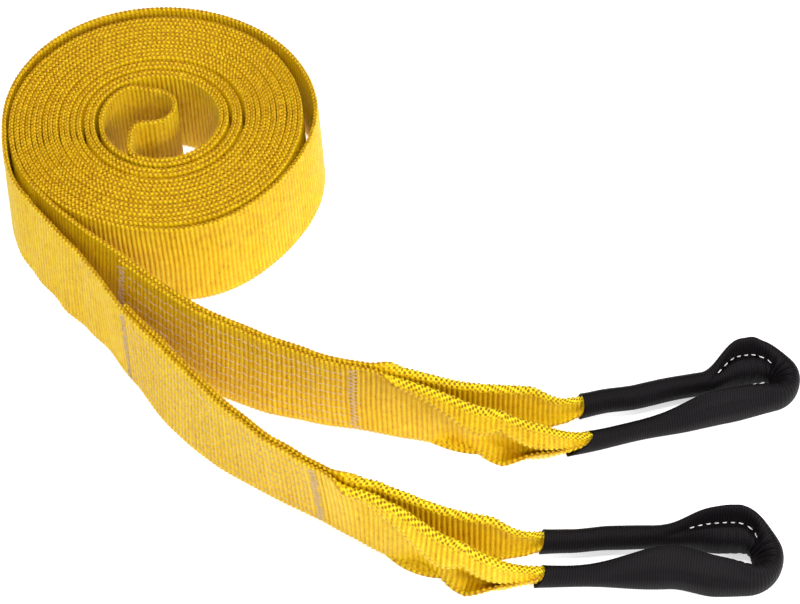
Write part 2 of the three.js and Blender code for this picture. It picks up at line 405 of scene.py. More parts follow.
def webbing_piece(name, mid, run, across, edge_points=3, fold=None):
    """Webbing with thickness round a middle surface. Each ring goes up the right face, over the
    top edge in a half circle, down the left face and round the lower edge. fold says, from 0 to
    1, where the cloth is bent over lengthwise; there the material paints dark slots, a painted
    shade. The ribs wander a little, by the product of a sine across the webbing and one along it."""
    half = WEB_THICKNESS / 2 - RIB_HEIGHT
    normal = sheet_normals(mid)
    slanting = np.sin(across[None, :] / 7.3 + run[:, None] / 29)
    rib = run[:, None] + RIB_WANDER * slanting * np.sin(run[:, None] / 61 + 1)
    right = mid + normal * (half + weave_relief(rib, 0))[..., None]
    left = mid - normal * (half + weave_relief(rib, 1))[..., None]
    angles = np.pi * (np.arange(edge_points) + 1) / (edge_points + 1)

    def edge(index, outwards):
        way = unit(mid[:, index] - mid[:, index - outwards])
        reach = half + weave_relief(rib[:, index][:, None], (angles / np.pi)[None, :])
        side = normal[:, index][:, None, :] * np.cos(angles)[None, :, None]
        out = way[:, None, :] * np.sin(angles)[None, :, None]
        return mid[:, index][:, None, :] + (side + out) * reach[..., None]

    top = edge(len(across) - 1, 1)
    low = edge(0, -1)
    rings = np.concatenate([right, top, left[:, ::-1], low[:, ::-1]], axis=1)
    stations, size = rings.shape[:2]
    count = len(across)

    def round_ring(values, top_values, low_values):
        return np.concatenate([values, top_values, values[:, ::-1], low_values], axis=1)

    def on_edge(column):
        return np.repeat(column, edge_points, 1)

    turn = np.concatenate([
        np.zeros(count), angles / np.pi, np.ones(count), (angles / np.pi)[::-1],
    ])
    shown = np.concatenate([
        across, np.full(edge_points, across[-1] + half),
        across[::-1], np.full(edge_points, across[0] - half),
    ])
    rib_ring = round_ring(rib, on_edge(rib[:, -1:]), on_edge(rib[:, :1]))
    fold = np.zeros(rib.shape) if fold is None else fold
    none = np.zeros((stations, edge_points))
    uv = np.stack([rib_ring, np.broadcast_to(shown, (stations, size))], -1).reshape(-1, 2)
    ladder = np.arange(count - 1)
    mirror = 2 * count + edge_points - 1 - ladder
    rungs = np.stack([ladder, ladder + 1, mirror - 1, mirror], -1)
    last = (stations - 1) * size
    top_cap = np.arange(count - 1, count + edge_points + 1)[None, :]
    low_cap = np.concatenate([np.arange(2 * count + edge_points - 1, size), [0]])[None, :]
    faces = [
        ring_faces(stations, size), rungs[:, ::-1], rungs + last,
        top_cap[:, ::-1], top_cap + last, low_cap[:, ::-1], low_cap + last,
    ]
    # The fold mark tells the material where to paint dark slots of painted shade over a lengthwise
    # fold
    marks = {"selvage": np.tile(turn, stations), "fold": round_ring(fold, none, none)}
    piece = mesh_piece(name, rings.reshape(-1, 3), faces, uv, marks, YELLOW)
    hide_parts("webbing")
    return piece


def standing(x, y, across):
    """A middle surface that stands straight up on a line in plan."""
    shape = (len(x), len(across))
    return np.stack([np.broadcast_to(x[:, None], shape), np.broadcast_to(y[:, None], shape),
                     np.broadcast_to(across + WEB_WIDTH / 2, shape)], -1)


def across_points(count):
    """Places across the webbing between its two rounded edges."""
    inner = WEB_WIDTH / 2 - WEB_THICKNESS / 2
    return np.linspace(-inner, inner, count)


# Materials

def node(tree, kind, inputs=None, **settings):
    """A shader node with its settings made, and each input linked to a socket or set to a value."""
    made = tree.nodes.new(kind)
    for key, value in settings.items():
        setattr(made, key, value)
    for socket, value in (inputs or {}).items():
        if isinstance(value, bpy.types.NodeSocket):
            tree.links.new(value, made.inputs[socket])
        else:
            made.inputs[socket].default_value = value
    return made


def maths(tree, operation, a, b=0.0, c=0.0, **settings):
    inputs = {0: a, 1: b, 2: c}
    return node(tree, "ShaderNodeMath", inputs, operation=operation, **settings).outputs[0]


def clamped(tree, value, scale=1.0, shift=0.0):
    """value times scale plus shift, kept between 0 and 1."""
    return maths(tree, "MULTIPLY_ADD", value, scale, shift, use_clamp=True)


def blend_colours(tree, amount, first, second):
    made = node(tree, "ShaderNodeMix", {0: amount, 6: first, 7: second}, data_type="RGBA")
    return made.outputs[2]


def noise(tree, place, scale, detail=2.0):
    inputs = {"Vector": place, "Scale": scale, "Detail": detail}
    return node(tree, "ShaderNodeTexNoise", inputs).outputs[0]


def new_material(name):
    made = bpy.data.materials.new(name)
    made.use_nodes = True
    made.node_tree.nodes.clear()
    return made, made.node_tree


def finish_material(tree, shader):
    out = node(tree, "ShaderNodeOutputMaterial")
    tree.links.new(shader.outputs[0], out.inputs[0])


def ribbed_weave():
    """A node group: heights of a ribbed weave from the ways along and across the cloth. A rib is a
    raised cosine, each rib is a row of small yarn beads, offset from rib to rib, and an opened
    weave is the product of two cosines, a chequerboard of beads and slots. Turn is how far over the
    edge a place lies, from 0 on one face to 1 on the other."""
    group = bpy.data.node_groups.new("ribbed_weave", "ShaderNodeTree")
    for name, default in (
        ("Along", 0.0), ("Across", 0.0), ("Turn", 0.0),
        ("Rib Pitch", 2.4), ("Yarn Pitch", 1.1), ("Slot Pitch", 2.2),
    ):
        socket = group.interface.new_socket(name, in_out="INPUT", socket_type="NodeSocketFloat")
        socket.default_value = default
    for name in ("Rib", "Yarn", "Beads"):
        group.interface.new_socket(name, in_out="OUTPUT", socket_type="NodeSocketFloat")
    inside = node(group, "NodeGroupInput").outputs
    outside = node(group, "NodeGroupOutput")

    def wave(turns):
        return maths(group, "COSINE", maths(group, "MULTIPLY", turns, 2 * math.pi))

    ribs = maths(group, "DIVIDE", inside["Along"], inside["Rib Pitch"])
    turn_wave = wave(maths(group, "MULTIPLY", inside["Turn"], 0.5))
    rib_wave = maths(group, "MULTIPLY", wave(ribs), turn_wave)
    odd = maths(group, "MULTIPLY", maths(group, "ROUND", ribs), 0.5)
    yarns = maths(group, "DIVIDE", inside["Across"], inside["Yarn Pitch"])
    yarn_wave = wave(maths(group, "ADD", yarns, odd))
    slots = wave(maths(group, "DIVIDE", inside["Across"], inside["Slot Pitch"]))
    chequer = maths(group, "MULTIPLY", rib_wave, slots)
    for name, value in (("Rib", rib_wave), ("Yarn", yarn_wave), ("Beads", chequer)):
        height = maths(group, "MULTIPLY_ADD", value, 0.5, 0.5)
        group.links.new(height, outside.inputs[name])
    return group


WEAVE = ribbed_weave()


def weave_in(tree, rib_pitch, yarn_pitch, turn=None):
    """The ribbed weave placed in a material, fed by the piece's own weave coordinates."""
    uv = node(tree, "ShaderNodeUVMap", uv_map="weave")
    split = node(tree, "ShaderNodeSeparateXYZ", {0: uv.outputs[0]})
    group = node(tree, "ShaderNodeGroup", node_tree=WEAVE)
    tree.links.new(split.outputs[0], group.inputs["Along"])
    tree.links.new(split.outputs[1], group.inputs["Across"])
    if turn is not None:
        tree.links.new(turn, group.inputs["Turn"])
    group.inputs["Rib Pitch"].default_value = rib_pitch
    group.inputs["Yarn Pitch"].default_value = yarn_pitch
    return group.outputs, split.outputs


def mark(tree, name):
    """A value that the piece's own mesh carries at each point."""
    return node(tree, "ShaderNodeAttribute", attribute_name=name).outputs["Fac"]


def yellow_webbing():
    """Yellow polyester with light painted on its weave: painted highlights on the rib crests,
    painted amber shade between them, and dark slots painted as shade along the selvage and over a
    lengthwise fold. The colour goes from dark through middle to light with how bright a place is,
    which is worked out from the weave and two noises."""
    made, tree = new_material("yellow_webbing")
    turn = mark(tree, "selvage")
    weave, place = weave_in(tree, RIB_PITCH, WEB_YARN_PITCH, turn)
    spot = node(tree, "ShaderNodeTexCoord").outputs["Object"]
    broad = noise(tree, spot, 22.0, 3.0)
    fine = noise(tree, spot, 1100.0)
    mottled = noise(tree, spot, 260.0, 1.0)
    # Where the dark slots of painted shade go: near the selvage, and over the fold that the fold
    # mark gives
    from_edge = maths(tree, "ABSOLUTE", place[1])
    opened = maths(tree, "MAXIMUM", clamped(tree, from_edge, 0.1, -2.0), mark(tree, "fold"))
    over = maths(tree, "SINE", maths(tree, "MULTIPLY", turn, math.pi))
    # How bright each place is, from slot to crest, painted in as shade and highlight: ribs of small
    # yarn beads with painted shade between them, then larger beads with slots painted dark as shade
    # where the weave opens, then one slanting bead to each rib over the edge, its crest a painted
    # highlight
    yarns = maths(tree, "MULTIPLY_ADD", weave["Yarn"], 0.45, 0.55)
    ribs = maths(tree, "MULTIPLY", clamped(tree, weave["Rib"], 1.3, 0.0), yarns)
    ribs = maths(tree, "MULTIPLY_ADD", ribs, 0.52, 0.36)
    beads = clamped(tree, weave["Beads"], 3.0, -0.7)
    edge = clamped(tree, weave["Rib"], 1.6, -0.64)
    crest = maths(tree, "MULTIPLY_ADD", maths(tree, "SUBTRACT", beads, ribs), opened, ribs)
    crest = maths(tree, "MULTIPLY_ADD", maths(tree, "SUBTRACT", edge, crest), over, crest)
    uneven = maths(tree, "MULTIPLY_ADD", maths(tree, "ADD", fine, mottled), 0.5, -0.5)
    crest = clamped(tree, maths(tree, "ADD", crest, uneven), 1.0, 0.0)
    # Dark is amber painted shade for the valleys and slots, light is the painted highlight on
    # crests and beads; the broad noise varies each tone at random
    dark = blend_colours(tree, broad, (0.26, 0.095, 0.0004, 1), (0.34, 0.14, 0.0006, 1))
    middle = blend_colours(tree, broad, (0.74, 0.40, 0.001, 1), (0.80, 0.48, 0.0015, 1))
    light = blend_colours(tree, broad, (0.90, 0.68, 0.006, 1), (0.94, 0.80, 0.014, 1))
    colour = blend_colours(tree, clamped(tree, crest, 2.4, 0.0), dark, middle)
    colour = blend_colours(tree, clamped(tree, crest, 2.0, -1.0), colour, light)
    rough = maths(tree, "MULTIPLY_ADD", crest, -0.2, 0.55)
    height = maths(tree, "ADD", crest, maths(tree, "MULTIPLY", fine, 0.5))
    bump = node(tree, "ShaderNodeBump", {"Height": height, "Strength": 0.9, "Distance": 0.0007})
    shader = node(tree, "ShaderNodeBsdfPrincipled", {
        "Base Color": colour, "Roughness": rough, "Normal": bump.outputs[0],
        "Specular IOR Level": 0.25,
    })
    finish_material(tree, shader)
    return made


def black_sleeve():
    """Black ribbed nylon: fine ribs across and a fine grain, with next to no gloss. Its rib crests
    are painted lighter and the valleys darker: painted highlight and painted shade.
    """
    made, tree = new_material("black_sleeve")
    weave, _ = weave_in(tree, SLEEVE_RIB_PITCH, SLEEVE_YARN_PITCH)
    spot = node(tree, "ShaderNodeTexCoord").outputs["Object"]
    broad = noise(tree, spot, 40.0, 3.0)
    fine = noise(tree, spot, 1300.0)
    yarns = maths(tree, "MULTIPLY_ADD", weave["Yarn"], 0.3, 0.7)
    rib = maths(tree, "MULTIPLY", weave["Rib"], yarns)
    # The light tone on the rib crests is a painted highlight and the dark one between them painted
    # shade; the broad noise varies both at random
    dark = blend_colours(tree, broad, (0.0030, 0.0024, 0.0028, 1), (0.005, 0.004, 0.005, 1))
    light = blend_colours(tree, broad, (0.008, 0.0066, 0.0076, 1), (0.013, 0.011, 0.0125, 1))
    colour = blend_colours(tree, rib, dark, light)
    height = maths(tree, "MULTIPLY_ADD", fine, 0.35, rib)
    bump = node(tree, "ShaderNodeBump", {"Height": height, "Strength": 0.6, "Distance": 0.00025})
    shader = node(tree, "ShaderNodeBsdfPrincipled", {
        "Base Color": colour, "Roughness": maths(tree, "MULTIPLY_ADD", rib, -0.1, 0.62),
        "Normal": bump.outputs[0], "Specular IOR Level": 0.09,
    })
    finish_material(tree, shader)
    return made


def pale_thread(name, first, second):
    """Twisted polyester thread: two close tones in slanting turns."""
    made, tree = new_material(name)
    uv = node(tree, "ShaderNodeUVMap", uv_map="weave")
    split = node(tree, "ShaderNodeSeparateXYZ", {0: uv.outputs[0]})
    slant = maths(tree, "ADD", maths(tree, "MULTIPLY", split.outputs[0], 9.0), split.outputs[1])
    twist = maths(tree, "MULTIPLY_ADD", maths(tree, "SINE", slant), 0.5, 0.5)
    bump = node(tree, "ShaderNodeBump", {"Height": twist, "Strength": 0.4, "Distance": 0.0001})
    shader = node(tree, "ShaderNodeBsdfPrincipled", {
        "Base Color": blend_colours(tree, twist, first, second), "Roughness": 0.6,
        "Normal": bump.outputs[0],
    })
    finish_material(tree, shader)
    return made


YELLOW = yellow_webbing()
BLACK = black_sleeve()
PALE_THREAD = pale_thread("pale_thread", (0.55, 0.42, 0.34, 1), (0.80, 0.70, 0.62, 1))
WHITE_THREAD = pale_thread("white_thread", (0.68, 0.66, 0.64, 1), (0.90, 0.89, 0.87, 1))


# The coil

def coil_pieces():
    """The outermost turn, the two strands between it and the bore, and the bore with its hook. The
    strands' faces are hidden, so they have points at their edges only."""
    wide = across_points(22)
    narrow = across_points(2)
    outside = coil_line(EXIT_ANGLE, OUTSIDE_TURN_END, 0, True)
    x, y, s = evenly(*settled(*outside, outermost=True))
    # It leaves the coil with the outward bulge that the lower end starts with
    fade = 1 - smooth(s, 0, START_BULGE_RUN)
    _, low, top = (-value * fade for value in ENDS["lower"]["drift"][0])
    outwards = unit(np.stack([x, y], -1))
    mid = shifted(tapered(standing(x, y, wide)), outwards, low, top)
    webbing_piece("webbing_outer_turn", mid, s, wide)
    for name, start, end, inset in (
        ("webbing_outer_strand", OUTSIDE_TURN_END, OUTER_BORE_FROM, 0),
        ("webbing_inner_strand", EXIT_ANGLE, BORE_FROM, PLY_PITCH),
    ):
        x, y, s = evenly(*settled(*coil_line(start, end, inset, False)))
        ribs = s + INNER_RIB_SHIFT * inset
        webbing_piece(name, tapered(standing(x, y, narrow)), ribs, narrow)
    outer = coil_line(OUTER_BORE_FROM, OUTER_END, 0, False)
    hook = hook_line()
    inner = coil_line(INNER_END, BORE_FROM, PLY_PITCH, False)
    line = (np.concatenate([a, b[1:], c[1:]]) for a, b, c in zip(outer, hook, inner))
    x, y, s = evenly(*settled(*line))
    webbing_piece("webbing_bore", tapered(standing(x, y, wide)), s, wide)


# The ends

def leg_places(end, inset):
    """The start and bends of an end, a function for how far each ply is from its middle line, and
    how far from the coil its lap starts and ends, its sleeve begins and its tip is."""
    exit_x, exit_y, exit_heading = coil_place(EXIT_ANGLE, inset)
    start = (exit_x, exit_y, exit_heading + 180)
    bends = end["tail"] + end["eye"]
    tip = total(bends)
    lap_end = total(end["tail"])
    lap_start = lap_end - LAP_LENGTH

    def half_at(d):
        lap = PLY_PITCH / 2 * smooth(d, lap_start - LAP_RAMP, lap_start)
        opened = smooth(d, lap_end, lap_end + EYE_SPREAD_RUN)
        spread = (EYE_HALF_WIDTH - PLY_PITCH / 2) * opened
        narrowed = smooth(d, tip - TIP_NARROW_RUN, tip)
        return lap + spread + (end["tip_radius"] - EYE_HALF_WIDTH) * narrowed

    return start, bends, half_at, (lap_start, lap_end, tip - MOUTH_FROM_TIP, tip)


def end_line(end, inset):
    """The middle line of an end's webbing in plan, out along the main ply, round the tip and back
    to the start of the lap: x, y, distance from the coil along the end, length run, run at the
    tip, and the places that leg_places names."""
    start, bends, half_at, marks = leg_places(end, inset)
    lap_start, _, _, tip = marks

    def leg(side, d):
        x, y, heading = along(start, bends, d)
        left = np.radians(heading + 90)
        away = side * half_at(d)
        return np.array([x + away * np.cos(left), y + away * np.sin(left), d])

    side = end["side"]
    out = leg(side, np.arange(0, tip, LEG_STEP))
    cx, cy, heading = along(start, bends, [tip])[:, 0]
    around = np.radians(heading + side * np.linspace(90, -90, TIP_POINTS))
    radius = end["tip_radius"]
    turn = np.array([
        cx + radius * np.cos(around), cy + radius * np.sin(around), np.full(TIP_POINTS, tip),
    ])
    back = leg(-side, np.arange(tip, lap_start, -LEG_STEP))
    line = np.concatenate([out, turn, back[:, 1:]], axis=1)
    s = arc_lengths(line[0], line[1])
    even = np.linspace(0, s[-1], int(s[-1] / STATION_STEP))
    x, y, d = (np.interp(even, s, row) for row in line)
    return x, y, d, even, s[out.shape[1] + TIP_POINTS // 2], marks


def lean_of(d):
    """How far an end leans to its left, as an angle: one smooth rise and one smooth fall."""
    return np.radians(TAIL_LEAN) * (smooth(d, *LEAN_RISE) - smooth(d, *LEAN_FALL))


# Runs from the tip over which each leg's fit sets in, and over which the far leg's shift fades
NEAR_FIT_RUN = (30, 50)
FAR_FIT_RUN = (26, 42)
FAR_SHIFT_FADE = (74, 92)
FAR_SHIFT_LOSS = 0.7


def leg_fit(end, q):
    """How much slimmer than its drawn section each leg is, and how far it lies towards the hole, at
    runs q from the tip: positive on the near leg."""
    scale_near, shift_near = end["near_fit"]
    scale_far, shift_far = end["far_fit"]
    near = smooth(q, *NEAR_FIT_RUN)
    far = smooth(-q, *FAR_FIT_RUN)
    scale = 1 + (scale_near - 1) * near + (scale_far - 1) * far
    shift = shift_near * near + shift_far * far * (1 - FAR_SHIFT_LOSS * smooth(-q, *FAR_SHIFT_FADE))
    return scale, shift


# How the webbing folds in an eye. Shares are of the way from the lap to the sleeve, where the
# webbing is MOUTH_DROP lower and gathered. A foot is the part under the lower fold and a top the
# part over the upper one. Runs are how much of the width a fold takes, and turns and bows are in
# degrees.
MOUTH_DROP = 36.8
DROP_POWER = 1.45
GATHERED = 0.36
NEAR_FOOT, FAR_FOOT = 9.5, 13
NEAR_FOOT_TURN, FAR_FOOT_TURN, FAR_MOUTH_TURN = 166, 58, 60
NEAR_FOOT_RUN, FAR_FOOT_RUN = 5.2, 14
TOP_TURN = 174
TOP_RUN = 5.4
NEAR_BOW, FAR_BOW = 9, 20
FOLD_MARK = 2.8
# The spans of the way over which each of these sets in or fades. A near foot's are from the ear.
GATHER_SPAN = (0.66, 1.0)
NEAR_FOOT_FROM, NEAR_TURN_FROM, NEAR_TURN_TO = 0.2, 0.15, 0.2
FAR_FOOT_SPAN = (0.0, 0.5)
FAR_FOOT_FADE, FAR_FOOT_LOSS = (0.5, 0.85), 0.85
FAR_TURN_SPAN = (0.05, 0.6)
FAR_MOUTH_SPAN = (0.6, 1.0)
TOP_SPAN = (0.02, 0.2)
BOW_SPAN = (0.05, 0.4)
BOW_FADE = (0.8, 1.0)
CENTRE_SPAN = (0.75, 1.0)
PRESS_SPAN = (0.74, 1.0)
PRESS_RUN = 8


def folded_section(share, near, ear, across):
    """The webbing's section in an eye, at shares of the way from the lap to the sleeve: how far
    each point across it lies towards the hole, how high, and how near it is to the upper fold.
    Its direction is upright, turns over outwards at the upper fold and under at the lower one,
    each by an S curve along the width. Height and way are sums of its cosine and sine across the
    width. near is 1 on the leg near the camera and 0 on the far one."""
    share = share[:, None]
    near = near[:, None]
    far = 1 - near
    height = WEB_WIDTH - 2 * (WEB_THICKNESS / 2) - MOUTH_DROP * np.clip(share, 0, 1) ** DROP_POWER
    gather = 1 - GATHERED * smooth(share, *GATHER_SPAN)
    width = (across + across[-1])[None, :] * gather
    whole = width[:, -1:]
    drawn_in = 1 - FAR_FOOT_LOSS * smooth(share, *FAR_FOOT_FADE)
    foot = near * (NEAR_FOOT * smooth(share, ear - NEAR_FOOT_FROM, ear))
    foot = foot + far * FAR_FOOT * smooth(share, *FAR_FOOT_SPAN) * drawn_in
    under = FAR_FOOT_TURN * smooth(share, *FAR_TURN_SPAN)
    under = under + FAR_MOUTH_TURN * smooth(share, *FAR_MOUTH_SPAN)
    turned = smooth(share, ear - NEAR_TURN_FROM, ear + NEAR_TURN_TO)
    foot_turn = near * NEAR_FOOT_TURN * turned - far * under
    foot_run = near * NEAR_FOOT_RUN + far * FAR_FOOT_RUN
    upright = np.maximum(np.cos(np.radians(foot_turn)), 0)
    wall = height - foot * upright
    upper = np.minimum(foot + wall, whole - 0.5)
    top_turn = TOP_TURN * smooth(share, *TOP_SPAN)
    bow = near * NEAR_BOW + far * FAR_BOW
    bow = bow * smooth(share, *BOW_SPAN) * (1 - smooth(share, *BOW_FADE))
    place = np.clip((width - foot) / wall, 0, 1)
    angle = foot_turn * (1 - smooth(width, foot - foot_run / 2, foot + foot_run / 2))
    angle = angle - top_turn * smooth(width, upper - TOP_RUN / 2, upper + TOP_RUN / 2)
    angle = np.radians(angle + bow * (2 * place - 1))
    step = np.diff(width, axis=1, prepend=width[:, :1])
    towards = np.cumsum(np.sin(angle) * step, 1)
    up = np.cumsum(np.cos(angle) * step, 1)
    # The middle of the wall stays on the leg's line, and the whole section's middle at the sleeve
    weight = np.exp(-((place - 0.5) / 0.25) ** 2)
    middle = (towards * weight).sum(1, keepdims=True) / weight.sum(1, keepdims=True)
    centre = (towards.max(1, keepdims=True) + towards.min(1, keepdims=True)) / 2
    towards = towards - middle - (centre - middle) * smooth(share, *CENTRE_SPAN)
    low = up.min(1, keepdims=True)
    up = up - low + WEB_THICKNESS / 2
    # How near each point is to the upper fold: the material paints dark slots there as painted
    # shade
    fold = np.exp(-((width - upper) / FOLD_MARK) ** 2) * smooth(share, *TOP_SPAN)
    return towards, up, fold


# Half the width, and the height, that a section is pressed to: at the sleeve's mouth and inside it
MOUTH_FIT = (3.6, 5.6)
INSIDE_FIT = (2.2, 4.0)
SLEEVE_MIDDLE = 7.5
# The near ply's dent before its ear, and the ear: (depth, place before or after the ear, width),
# the last two as shares of the way from lap to sleeve. Both fade out upwards over a height.
DENT = (3.2, -0.17, 0.07)
DENT_HEIGHT = 30
EAR = (3.4, 0.03, 0.1)
EAR_HEIGHT = 25
TAIL_POINTS = 16
EYE_POINTS = 46
HIDDEN_STRIDE = 4


def end_pieces(name, end, inset):
    """An end's webbing in three pieces: the main ply to the end of the lap, the eye, and the ply
    that is turned back along the lap. Inside the sleeve only one station in four is kept."""
    x, y, d, run, tip_run, marks = end_line(end, inset)
    lap_start, lap_end, mouth, tip = marks
    side = end["side"]
    heading = np.unwrap(np.arctan2(np.gradient(y), np.gradient(x)))
    left = np.stack([-np.sin(heading), np.cos(heading)], -1)
    hole = -left * side
    leaning = lean_of(d) * np.where(run > tip_run, -1, 1)
    sideways = left * np.where(run > tip_run, -1, 1)[:, None]
    drift = drift_of(end, d)

    def straight(index, count):
        across = across_points(count)
        mid = standing(x[index], y[index], across)
        aside = across[None, :] * np.tan(leaning[index])[:, None]
        mid[..., :2] += left[index][:, None, :] * aside[..., None]
        mid = shifted(mid, sideways[index], *(value[index] for value in drift))
        return tapered(mid, (1 - smooth(d[index], *TAPER_FADE))[:, None, None]), across

    lap_out = int(np.searchsorted(d[: len(d) // 2], lap_end))
    after = run > tip_run
    lap_back = int(np.flatnonzero(after & (d <= lap_end))[0])
    tail = np.arange(0, lap_out + 1)
    mid, across = straight(tail, TAIL_POINTS)
    webbing_piece(f"webbing_{name}_tail", mid, run[tail], across)
    lap = np.arange(lap_back, len(d))
    mid, across = straight(lap, TAIL_POINTS)
    webbing_piece(f"webbing_{name}_lap", mid, run[lap], across)

    inside = d > mouth + 12
    shown = np.arange(lap_out, lap_back + 1)
    kept = shown[~inside[shown] | (shown % HIDDEN_STRIDE == 0)]
    across = across_points(EYE_POINTS)
    share = (d[kept] - lap_end) / (mouth - lap_end)
    past = smooth((run[kept] - tip_run) * side, -25, 25)
    towards, up, fold = folded_section(share, past, end["ear_at"], across)
    # Near and in the sleeve the section is pressed to fit: first to the mouth, then well inside it
    scale, shift = (value[:, None] for value in leg_fit(end, (run[kept] - tip_run) * side))
    for (half_width, half_height), pressed in (
        (MOUTH_FIT, smooth(share, *PRESS_SPAN)),
        (INSIDE_FIT, smooth(d[kept], mouth, mouth + PRESS_RUN)),
    ):
        for values, half, centre in (
            (towards, half_width, shift), (up, half_height, SLEEVE_MIDDLE * scale),
        ):
            low, high = values.min(1, keepdims=True), values.max(1, keepdims=True)
            # A section that is one straight line is left as it is: its fit is clipped to 1
            narrower = np.minimum(2 * half * scale / (high - low), 1.0)
            fitted = centre + (values - (low + high) / 2) * narrower
            values += (fitted - values) * pressed[:, None]
    # The ply draws in towards the hole just before its lower edge turns up, and again at the ear
    for (depth, place, width), fade in ((DENT, DENT_HEIGHT), (EAR, EAR_HEIGHT)):
        bump = np.exp(-((share - end["ear_at"] - place) / width) ** 2) * past
        towards = towards + depth * bump[:, None] * smooth(-up, -fade, 0)
    mid = np.empty(up.shape + (3,))
    line = np.stack([x, y], -1)[kept]
    mid[..., :2] = line[:, None, :] + hole[kept][:, None, :] * towards[..., None]
    mid[..., 2] = up
    mid = shifted(mid, sideways[kept], *(value[kept] for value in drift))
    webbing_piece(f"webbing_{name}_eye", mid, run[kept], across, fold=fold)


# The sleeves. Each section is a closed curve through twelve places, as (way from the leg's middle
# line towards the hole, height), from the middle of its underside up its outer side, round the top
# and down beside the hole.
SECTION_KEYS = 12
TUBE = ((0, 0.1), (-3.0, 1.1), (-4.9, 4.6), (-5.2, 8.0), (-4.3, 11.6), (-2.4, 13.9),
        (-0.4, 14.6), (1.4, 14.2), (3.2, 12.8), (4.6, 10.2), (5.2, 6.6), (3.4, 1.7))
FAR_TIP = ((1.5, 0.1), (-3.2, 1.0), (-5.0, 5.0), (-5.4, 11.0), (-5.8, 17.0), (-6.6, 23.2),
           (-6.1, 24.9), (-5.0, 22.4), (-3.9, 13.4), (0.1, 16.8), (4.6, 12.4), (4.6, 4.2))
NEAR_TIP = ((-1.0, 0.1), (-4.6, 1.3), (-5.9, 5.0), (-5.4, 9.8), (-2.6, 13.0), (-1.5, 17.5),
            (0.0, 21.5), (1.4, 20.6), (2.6, 16.0), (3.4, 11.0), (3.8, 6.0), (2.2, 1.4))
TURN = ((0.5, 0.1), (-3.4, 1.0), (-5.6, 4.4), (-6.2, 9.0), (-5.6, 12.8), (-3.9, 15.0),
        (-1.6, 15.4), (0.8, 14.0), (3.0, 11.2), (5.0, 7.8), (6.0, 4.2), (4.0, 0.8))
# The heights between which the near tip's upper part is raised or lowered to an end's near_rim,
# which takes the place of the second
NEAR_LIP = (13, 21.5)
# How far from the turn, on the near and the far leg, the turn's own section reaches
TURN_FROM = 3
NEAR_TURN_REACH, FAR_TURN_REACH = 36, 19
FAR_SLANT = 2.0
MOUTH_FLARE = 0.05
SLEEVE_HALF = 7.3
SLEEVE_LIFT = 0.3
CREASE_RUN = 17
CREASE_IN, CREASE_UP = 0.5, 0.55
# The creases fade out between these ways from the outer side, and below these heights
CREASE_WAYS = (-4.5, 2.5)
CREASE_HEIGHTS = (1, 6)
# Unrest of the legs: how far they stray towards the hole, and the share by which their tops rise
STRAY = 0.35
TOP_STRAY = 0.02
TOP_STRAY_HEIGHTS = (4, 14)
SLANT_HEIGHT = 13
SLANT_RUN = 9
FLARE_RUN = 2.0
RING_POINTS = 60
CLOTH = 0.9


def spline_weights(keys, places):
    """Weights of a closed Catmull-Rom curve's keys at places counted in keys."""
    first = np.floor(places).astype(int)
    u = places - first
    weights = np.zeros((len(places), keys))
    rows = np.arange(len(places))
    for offset, value in (
        (-1, -u + 2 * u**2 - u**3), (0, 2 - 5 * u**2 + 3 * u**3),
        (1, u + 4 * u**2 - 3 * u**3), (2, u**3 - u**2),
    ):
        weights[rows, (first + offset) % keys] += value / 2
    return weights


